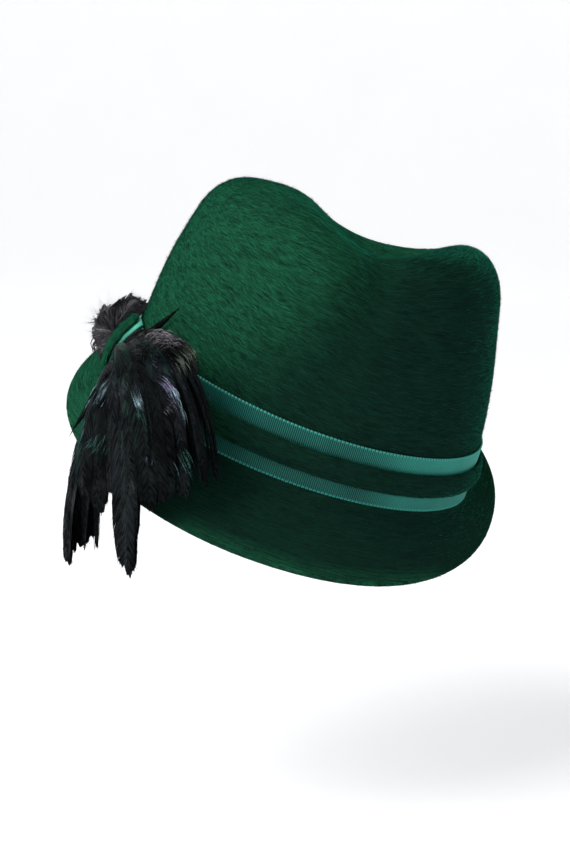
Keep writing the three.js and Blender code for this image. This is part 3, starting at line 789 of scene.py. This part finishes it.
class Plume:
    """Gathers feathers and strands into one mesh.

    Feathers are dark, and over some share of their length painted sheen brightens their colour towards
    their tint, where they are also glossier. A higher power makes fewer of them glow.
    """

    def __init__(self, settings, seed, dark, glow_length=0.2, glow_power=1.6):
        self.settings = settings
        self.dark = np.array(dark)
        self.glow_length = glow_length
        self.glow_power = glow_power
        self.chance = np.random.default_rng(seed)
        self.vane = read_template(vane_template(settings.rows, 6, settings.barbs))
        self.hackle = read_template(vane_template(settings.rows * 6 // 10, 4, settings.barbs * 3 // 4))
        self.strand = read_template(vane_template(5, 1, 0))
        self.places, self.polygons, self.vanes, self.tints, self.shines = [], [], [], [], []
        self.count = 0

    def add(self, template, path, away, width, kind, sheen, strength, twist=0.0, middle=None):
        share, across, _, _, faces = template
        made = feather_places(template[:4], path, away, width, self.chance, kind, twist)
        self.polygons += [[corner + self.count for corner in face] for face in faces]
        self.count += len(made)
        self.places.append(made)
        offset = len(self.places) * 3.7
        span = np.linalg.norm(np.diff(path, axis=0), axis=1).sum() / BARBED_LENGTH
        self.vanes.append(np.stack([share * span + offset, across, 0 * share], -1))
        middle = middle or self.chance.uniform(0.3, 0.6)
        quill = np.where(np.abs(across) < 0.1, 0.4, 1.0)
        glow = np.exp(-(((share - middle) / self.glow_length) ** 2)) * quill
        glow = glow * strength
        # Painted sheen: the glow brightens the feather's colour towards its sheen's tint.
        tint = np.array(getattr(self.settings, sheen))
        dark = self.dark * self.chance.uniform(0.6, 1.5)
        self.tints.append(dark + (tint - dark) * glow[:, None])
        self.shines.append(glow)

    def lock(self, root, lock, kind, template, strong, least=0.68, aside=0.25):
        """The feathers of a lock: how strongly they glow, their least length, and how far they part."""
        chance = self.chance
        for _ in range(lock.feathers):
            # About half of a lock's feathers end well before its tip.
            short = chance.uniform(least, 0.99) if chance.random() < 0.5 else chance.uniform(0.94, 1.0)
            path, away = lock_path(root, lock, chance, short, aside)
            width = lock.vane * chance.uniform(0.8, 1.15) * MM
            glow = strong * chance.random() ** self.glow_power
            self.add(template, path, away, width, kind, lock.sheen, glow, chance.normal(0, 0.4))

    def strands(self, root, lock, count, least, aside=0.3, lifted=1.2):
        """Loose strands over a lock."""
        chance = self.chance
        for _ in range(count):
            path, away = lock_path(root, lock, chance, chance.uniform(least, 0.97), aside, 9)
            path = path + away * np.linspace(0.3, 1, len(path))[:, None] * lifted * chance.random() * MM
            width = chance.uniform(0.2, 0.42) * MM
            self.add(self.strand, path, away, width, SPIKE, lock.sheen, 0.35 * chance.random() ** 2)

    def gleam(self, gleam):
        """A painted highlight: a bundle of bright barbs on top of the feathers, where barbs catch the
        light together.
        """
        chance = self.chance
        top, middle, bottom = (np.array(end) for end in (gleam.top, gleam.middle, gleam.bottom))
        ends = np.array([top, 2 * middle - (top + bottom) / 2, 2 * middle - (top + bottom) / 2, bottom])
        away = np.array(GLEAM_FACING)
        side = unit(np.cross(bottom - top, away))
        for _ in range(gleam.barbs):
            moved = ends + side * chance.normal(0, gleam.spread) + away * chance.uniform(0.5, 2.4)
            moved = moved + (bottom - top) * chance.normal(0, 0.12) + chance.normal(0, 0.35, (4, 3))
            path = curve_places(moved, 8) * MM
            width = chance.uniform(0.25, 0.6) * MM
            strength = gleam.strength * chance.uniform(0.3, 1.2)
            self.add(self.strand, path, away, width, BARB, gleam.sheen, strength, middle=0.5)

    def piece(self, name, material, slot, node):
        """The plume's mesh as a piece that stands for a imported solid."""
        mesh = bpy.data.meshes.new(name)
        mesh.from_pydata(np.concatenate(self.places), [], self.polygons)
        mesh.polygons.foreach_set("use_smooth", [True] * len(mesh.polygons))
        store(mesh, "vane", np.concatenate(self.vanes))
        store(mesh, "tint", np.concatenate(self.tints))
        store(mesh, "shine", np.clip(np.concatenate(self.shines), 0, 1))
        mesh.update()
        return finished(name, mesh, material, [node])


# Pieces as operators


class HAT_OT_felt_body(bpy.types.Operator):
    """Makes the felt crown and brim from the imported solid, smoothed and with the felt's material"""

    bl_idname = "hat.felt_body"
    bl_label = "Felt Body"

    def execute(self, context):
        felt_piece("felt_body", "crown_and_brim", felt_material(context.scene.hat_felt), 2)
        return {"FINISHED"}


# One growth of nap: its piece's name, its hairs and their seed, the faces that it grows on, how far
# down it is brushed, how long its hairs are as a share of the usual, how steeply they stand, how many
# rows of faces each has, and how light they are. Slope and length are numbers or depend on the place.
Nap = namedtuple("Nap", "name count seed keep slope length steep rows shade")


def at_places(value, own):
    """A value for each place, from a number or from a function of the places."""
    return value(own) if callable(value) else np.full(len(own), value)


def grow(nap, base, settings):
    """Grows nap on a felt piece."""
    spots, normals = scattered(base, nap.count, nap.seed, nap.keep)
    own = own_frame(spots)
    chance = np.random.default_rng(nap.seed + 1)
    shortest, longest = 0.55, 1.2
    size = settings.hair_length * chance.uniform(shortest, longest, nap.count) * at_places(nap.length, own)
    lift = np.abs(chance.normal(0.06, 0.05, nap.count)) * nap.steep
    broad = 0.06 * (tufts(own, 12 * MM, 2.0 * MM, 2.0) - 0.5)
    tone = 0.24 * tufts(own, 7 * MM, 0.35 * MM, 1.0) + broad + 0.66 * chance.random(nap.count)
    tone = np.clip(0.42 + (tone - 0.45) * 1.9, 0, 1) * nap.shade
    way = brushed_way(spots, normals, at_places(nap.slope, own))
    width = settings.hair_width * (1.0 if nap.rows == 1 else 0.8)
    hairs(nap.name, spots, normals, way, size, width, lift, tone, nap.seed + 2, nap.rows)


class HAT_OT_nap(bpy.types.Operator):
    """Grows the nap of the crown and of the brim, brushed around the hat"""

    bl_idname = "hat.nap"
    bl_label = "Nap"

    def execute(self, context):
        settings = context.scene.hat_felt
        hair_material(settings)
        base = bpy.data.objects["felt_body"]

        def on_crown(own, normals):
            middle = 30 * MM
            outside = (own * normals).sum(-1) - middle * normals[:, 2] > 0
            return outside & (own[:, 2] > CROWN_FOOT)

        def crown_slope(own):
            turn = np.degrees(around(own))
            turns = (-180, -100, -77, -66, -45, -24, -5, 40, 180)
            level = np.interp(turn, turns, (0.0, 0.0, 0.12, 0.27, 0.12, 0.25, 0.0, 0.0, 0.0))
            return level - 0.2 * np.clip((own[:, 2] - 90 * MM) / (20 * MM), 0, 1)

        def brim_slope(own):
            return -0.1 * np.clip((share_out(own) - 1.1) / 0.1, 0, 1)

        def brim_length(own):
            return 0.6 - 0.2 * np.clip((share_out(own) - 1.08) / 0.1, 0, 1)

        def where_lit(own, normals):
            return on_crown(own, normals) * (0.02 + painted_nap_light(own) ** 2)

        for nap in (
            Nap("crown_nap", settings.crown_hairs, 11, on_crown, crown_slope, 1.0, 1.0, 1, 1.0),
            Nap("crown_long_hairs", 2500, 17, where_lit, crown_slope, 1.2, 1.4, 3, 0.7),
            Nap("crown_fuzz", 6000, 19, where_lit, crown_slope, 0.55, 5.0, 1, 0.7),
            Nap("brim_nap", settings.brim_hairs, 23, of_brim, brim_slope, brim_length, 0.9, 1, 1.0),
        ):
            grow(nap, base, settings)
        return {"FINISHED"}


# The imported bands' stations around the hat, the ribbon's columns of faces for each rib, and how far up
# it each of its rows is. Its first and last row turn in towards the felt. Small loops stand out along
# both edges, and its flat width takes in all of these.
STATIONS = 64
COLUMNS_PER_RIB = 4
RIBBON_STEPS = (0.0, 0.0, 0.03, 0.2, 0.4, 0.6, 0.8, 0.97, 1.0, 1.0)
TURNED_IN = 0.6 * MM
EDGE_LOOP = 0.55 * MM

# By degrees from the front towards the wearer's left: how bright the ribs are, with painted shade by the
# plume and a painted sheen in front; how far that brightness fills the ribbon between them, so that
# painted sheen in front and painted shade by the plume smooth the ribs out; and how thin the ribs look.
RIB_PAINTED_LIGHT = ((-180, -120, -75, -52, -20, 5), (0.7, 0.55, 0.28, 0.5, 0.5, 0.72))
RIB_FILLED = ((-70, -50, -35, -12, 0, 30, 80), (0.4, 0.05, 0.0, 0.06, 0.3, 0.35, 0.1))
RIB_THIN = ((-60, -18, 3), (3.0, 2.6, 1.2))


def ring_edges(node):
    """The outer edges of a band's solid around the hat, low and high, in the hat's own frame."""
    shape = merged_copy(node)
    own = own_frame(np.array([vertex.co for vertex in shape.verts]))
    shape.free()
    station = np.round((np.degrees(around(own)) + 45) / 360 * STATIONS).astype(int) % STATIONS
    low, high = [], []
    for number in range(STATIONS):
        section = own[station == number]
        outside = section[np.argsort(share_out(section))][2:]
        outside = outside[np.argsort(outside[:, 2])]
        low.append(outside[0])
        high.append(outside[-1])
    return np.array(low), np.array(high)


def resampled(values, count):
    """A closed row of places with more places along it, on the smooth curve through them."""
    waves = np.fft.rfft(values, axis=0)
    full = np.zeros((count // 2 + 1, values.shape[1]), complex)
    full[: len(waves)] = waves
    full[len(waves) - 1] *= 0.5
    return np.fft.irfft(full, count, axis=0) * count / len(values)


def rib_brightness(turn, step, rib, edge, column):
    """How bright each point of the ribbon is, with painted shade by the plume and painted sheen in front,
    darker towards its lower edge, and over 1 where it is on a small loop of an edge.
    """
    # Painted shade by the plume and painted sheen in front.
    shown = np.interp(turn, *RIB_PAINTED_LIGHT) * (0.7 + 0.3 * step)
    thin = rib ** np.interp(turn, *RIB_THIN)
    tint = (thin + (1 - thin) * np.interp(turn, *RIB_FILLED)) * shown
    loop = (rib > 0.4) & (column // COLUMNS_PER_RIB % 2 == 0)
    tint = np.where(edge == 0, tint, np.where(loop, 1.4 + 0.15 * edge, 0.35))
    return np.clip(tint, 0, 2)


class HAT_OT_ribbon(bpy.types.Operator):
    """Makes the ribbed ribbon round the crown, with its small loops along both edges"""

    bl_idname = "hat.ribbon"
    bl_label = "Ribbon"

    def execute(self, context):
        settings = context.scene.hat_ribbon
        low, high = ring_edges("ribbon_band")
        around_length = np.linalg.norm(np.roll(low, -1, 0) - low, axis=1).sum()
        columns = round(around_length / settings.pitch) * COLUMNS_PER_RIB
        rows = len(RIBBON_STEPS) - 1
        low, high = resampled(low, columns), resampled(high, columns)
        shape = bmesh.new()
        bmesh.ops.create_grid(shape, x_segments=columns, y_segments=rows, size=1.0)
        shape.verts.ensure_lookup_table()
        flat = np.array([vertex.co for vertex in shape.verts])
        column = np.round((flat[:, 0] + 1) / 2 * columns).astype(int) % columns
        row = np.round((flat[:, 1] + 1) / 2 * rows).astype(int)
        inner = (row > 0) & (row < rows)
        step = np.array(RIBBON_STEPS)[row]
        rib = 0.5 + 0.5 * np.cos(column / COLUMNS_PER_RIB * 2 * math.pi)
        edge = np.where(row <= 1, -1.0, np.where(row >= rows - 1, 1.0, 0.0))
        own = low[column] * (1 - step)[:, None] + high[column] * step[:, None]
        angle = around(own)
        outward = np.stack([np.sin(angle) / HEAD[0], -np.cos(angle) / HEAD[1], 0 * angle], -1)
        raised = np.where(inner, (rib - 0.6) * settings.height, -TURNED_IN)
        own = own + unit(outward) * raised[:, None]
        own[:, 2] += edge * rib * EDGE_LOOP
        # Painted light and shade of the ribbon, kept in its rib attribute.
        tints = rib_brightness(np.degrees(angle), step, rib, edge, column)
        rib_layer = shape.verts.layers.float.new("rib")
        for vertex, place, tint in zip(shape.verts, packed_frame(own), tints):
            vertex.co = place
            vertex[rib_layer] = tint
            vertex.normal_update()
        bmesh.ops.remove_doubles(shape, verts=shape.verts, dist=0.01 * MM)
        bmesh.ops.recalc_face_normals(shape, faces=shape.faces)
        middle = Vector(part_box("ribbon_band")[0]).lerp(Vector(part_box("ribbon_band")[1]), 0.5)
        shape.faces.ensure_lookup_table()
        facing = sum(face.normal.dot(face.calc_center_median() - middle) for face in shape.faces[:400])
        if facing < 0:
            bmesh.ops.reverse_faces(shape, faces=shape.faces)
        for face in shape.faces:
            face.smooth = True
        mesh = mesh_from(shape, "ribbon")
        material = ribbon_material(settings, "grosgrain", settings.rib)
        piece = finished("ribbon", mesh, material, ["ribbon_band"])
        return {"FINISHED"}


class HAT_OT_felt_trims(bpy.types.Operator):
    """Makes the padded felt strip and the felt and ribbon loops, with nap on the felt"""

    bl_idname = "hat.felt_trims"
    bl_label = "Felt Strip and Loops"

    def execute(self, context):
        settings = context.scene.hat_felt
        felt = bpy.data.materials["long_nap_felt"]
        strip = felt_piece("felt_strip", "felt_band", felt, 2)
        loop = felt_piece("loop_of_felt", "felt_loop", felt, 3)

        def outside(own, normals):
            angle = around(own)
            return np.sin(angle) * normals[:, 0] - np.cos(angle) * normals[:, 1] > -0.2

        strip_nap = Nap("strip_nap", settings.strip_hairs, 31, outside, 0.08, 0.75, 0.8, 1, 0.9)
        grow(strip_nap, strip, settings)
        grow(Nap("loop_nap", 3500, 41, outside, 2.5, 0.6, 2.2, 1, 1.0), loop, settings)
        mesh = mesh_from(merged_copy("ribbon_loop"), "loop_of_ribbon")
        own = own_frame(places_of(mesh))
        ribbon = context.scene.hat_ribbon
        ribs = own[:, 2] / ribbon.pitch * 2 * math.pi
        # Painted shade and light: the loop's ribbon is dark below and lit at its upper end.
        shown = np.interp(packed_frame(own)[:, 2] / MM, (44, 54), (0.1, 0.95))
        store(mesh, "rib", shown * (0.9 + 0.15 * np.cos(ribs)))
        bright = ribbon_material(ribbon, "lit_folded_grosgrain", ribbon.lit_fold)
        finished("loop_of_ribbon", mesh, bright, ["ribbon_loop"])
        return {"FINISHED"}


class HAT_OT_plumes(bpy.types.Operator):
    """Makes the hanging plume with its pointed feathers, and the curled plume, feather by feather"""

    bl_idname = "hat.plumes"
    bl_label = "Plumes"

    def execute(self, context):
        settings = context.scene.hat_feathers
        hanging = Plume(settings, 5, settings.dark)
        every = sum(lock.feathers for lock in HANGING_LOCKS)
        for lock in HANGING_LOCKS:
            hanging.lock(HANGING_ROOT, lock, TAIL, hanging.vane, strong=0.55)
            hanging.strands(HANGING_ROOT, lock, settings.strands * lock.feathers // every, least=0.3)
        hanging.dark = np.array(settings.brown)
        for lock in DOME_LOCKS:
            hanging.lock(DOME_ROOT, lock, HACKLE, hanging.hackle, strong=0.9, least=0.45, aside=0.5)
            hanging.strands(DOME_ROOT, lock, 240, least=0.4, aside=0.7, lifted=3.0)
        hanging.dark = np.array(settings.dark)
        for gleam in GLEAMS:
            hanging.gleam(gleam)
        for start, end, width in SPIKES:
            spike = np.linspace(start, end, 16) * MM
            facing = np.array(SPIKE_FACING)
            hanging.add(hanging.vane, spike, facing, width * MM, SPIKE, "dark", 0.0, 0.3)
        dark = feather_material("glossy_feather", Vector(settings.dark) * 0.17)
        hanging.piece("hanging_feathers", dark, "dark_feather", "hanging_plume")
        curled = Plume(settings, 9, settings.shade, glow_length=0.4, glow_power=0.5)
        for lock in CURLED_LOCKS:
            curled.lock(CURLED_ROOT, lock, CURL, curled.hackle, strong=1.0, least=0.75, aside=0.4)
            curled.strands(CURLED_ROOT, lock, 90, least=0.8)
        curled.gleam(CURLED_GLEAM)
        grey = feather_material("soft_feather", Vector(settings.shade) * 0.35)
        curled.piece("curled_feathers", grey, "grey_feather", "curled_plume")
        return {"FINISHED"}


class HAT_OT_stage(bpy.types.Operator):
    """Sets the pale floor and backdrop, the soft lights and the camera"""

    bl_idname = "hat.stage"
    bl_label = "Stage"

    def execute(self, context):
        scene = context.scene
        settings = scene.hat_stage
        self.cove(settings)
        self.light("key", (-1.6, 0.15, 1.6), 1.8, settings.key)
        self.light("fill", (1.0, -1.6, 0.7), 1.2, settings.fill)
        world = bpy.data.worlds.new("surround")
        world.use_nodes = True
        background = world.node_tree.nodes["Background"]
        background.inputs["Color"].default_value = (0.97, 0.98, 1.0, 1.0)
        background.inputs["Strength"].default_value = settings.surround
        scene.world = world
        scene.view_settings.view_transform = "Standard"
        self.camera(scene, settings)
        return {"FINISHED"}

    def cove(self, settings):
        """A pale round floor that rises all round in one sweep."""
        radius, wall_top, steps = 3.0, 6.0, 16
        shape = bmesh.new()
        bends = [math.radians(90 * step / steps) for step in range(steps + 1)]
        sweep = [(radius + math.sin(bend), 1 - math.cos(bend)) for bend in bends]
        profile = [shape.verts.new((x, 0, z)) for x, z in [(0, 0), *sweep, (radius + 1, wall_top)]]
        edges = [shape.edges.new(pair) for pair in zip(profile, profile[1:])]
        bmesh.ops.spin(
            shape,
            geom=profile + edges,
            cent=(0, 0, 0),
            axis=(0, 0, 1),
            angle=math.radians(360),
            steps=64,
            use_merge=True,
        )
        bmesh.ops.remove_doubles(shape, verts=shape.verts, dist=MM)
        bmesh.ops.recalc_face_normals(shape, faces=shape.faces)
        shape.faces.ensure_lookup_table()
        if min(shape.faces, key=lambda face: face.calc_center_median().length).normal.z < 0:
            bmesh.ops.reverse_faces(shape, faces=shape.faces)
        bmesh.ops.translate(shape, vec=(0, 0, settings.floor), verts=shape.verts)
        for face in shape.faces:
            face.smooth = True
        mesh = mesh_from(shape, "floor")
        shader = Shader(
            "pale_floor", Roughness=0.7, Specular_IOR_Level=0.2, Emission_Strength=settings.glow
        )
        turn = (0.0, 0.0, -settings.azimuth)
        place = shader.node("ShaderNodeMapping", inputs={"Vector": shader.place(), "Rotation": turn})
        behind = shader.node("ShaderNodeSeparateXYZ", inputs={"Vector": place}, output=1)
        height = shader.node("ShaderNodeSeparateXYZ", inputs={"Vector": place}, output=2)
        raised = shader.spread(height, settings.floor, settings.floor + 1.0)
        dim = raised * (1 - shader.spread(behind, 2.0, 3.6))
        grain = shader.noise(shader.place(), 8.0, 2.0)
        pale = shader.blend(grain, (0.86, 0.86, 0.86), (0.9, 0.9, 0.9))
        shader.feed("Base Color", shader.blend(dim, pale, (0.3, 0.3, 0.3)))
        shader.feed("Emission Color", shader.blend(dim, (0.97, 0.98, 1.0), (0.5, 0.5, 0.5)))
        mesh.materials.append(shader.material)
        floor = bpy.data.objects.new("floor", mesh)
        bpy.context.scene.collection.objects.link(floor)

    def light(self, name, place, size, power):
        lamp = bpy.data.lights.new(name, "AREA")
        lamp.size = size
        lamp.energy = power
        holder = bpy.data.objects.new(name, lamp)
        holder.location = place
        holder.rotation_euler = (-Vector(place)).to_track_quat("-Z", "Y").to_euler()
        bpy.context.scene.collection.objects.link(holder)

    def camera(self, scene, settings):
        lens = bpy.data.cameras.new("camera")
        lens.lens = 85.0
        lens.sensor_width = 36.0
        lens.clip_start = 0.05
        a, e = settings.azimuth, settings.elevation
        back = Vector((math.sin(a) * math.cos(e), -math.cos(a) * math.cos(e), math.sin(e)))
        turn = (-back).to_track_quat("-Z", "Y")
        right, up = turn @ Vector((1, 0, 0)), turn @ Vector((0, 1, 0))
        # The camera stands a little aside and over, so that the hat isn't quite in the frame's middle.
        across, rise = 0.00414, 0.00026
        camera = bpy.data.objects.new("camera", lens)
        camera.location = back * settings.distance - right * across + up * rise
        camera.rotation_euler = turn.to_euler()
        scene.collection.objects.link(camera)
        scene.camera = camera


class HAT_PT_panel(bpy.types.Panel):
    """Lists the hat's pieces and their settings"""

    bl_idname = "HAT_PT_panel"
    bl_label = "Felt Hat"
    bl_space_type = "VIEW_3D"
    bl_region_type = "UI"
    bl_category = "Felt Hat"

    def draw(self, context):
        for operator in OPERATORS:
            self.layout.operator(operator.bl_idname)
        for group in ("hat_felt", "hat_ribbon", "hat_feathers", "hat_stage"):
            settings = getattr(context.scene, group)
            for name in settings.__annotations__:
                self.layout.prop(settings, name)


OPERATORS = (
    HAT_OT_felt_body,
    HAT_OT_nap,
    HAT_OT_ribbon,
    HAT_OT_felt_trims,
    HAT_OT_plumes,
    HAT_OT_stage,
)
SETTINGS = {
    "hat_felt": FeltSettings,
    "hat_ribbon": RibbonSettings,
    "hat_feathers": FeatherSettings,
    "hat_stage": StageSettings,
}


def register():
    for group in (*SETTINGS.values(), *OPERATORS, HAT_PT_panel):
        bpy.utils.register_class(group)
    for name, group in SETTINGS.items():
        setattr(bpy.types.Scene, name, PointerProperty(type=group))


def unregister():
    for name in SETTINGS:
        delattr(bpy.types.Scene, name)
    for group in reversed((*SETTINGS.values(), *OPERATORS, HAT_PT_panel)):
        bpy.utils.unregister_class(group)


def main():
    """Makes every piece and the stage."""
    register()
    bpy.ops.hat.felt_body()
    bpy.ops.hat.nap()
    bpy.ops.hat.ribbon()
    bpy.ops.hat.felt_trims()
    bpy.ops.hat.plumes()
    bpy.ops.hat.stage()


if __name__ == "__main__":
    main()
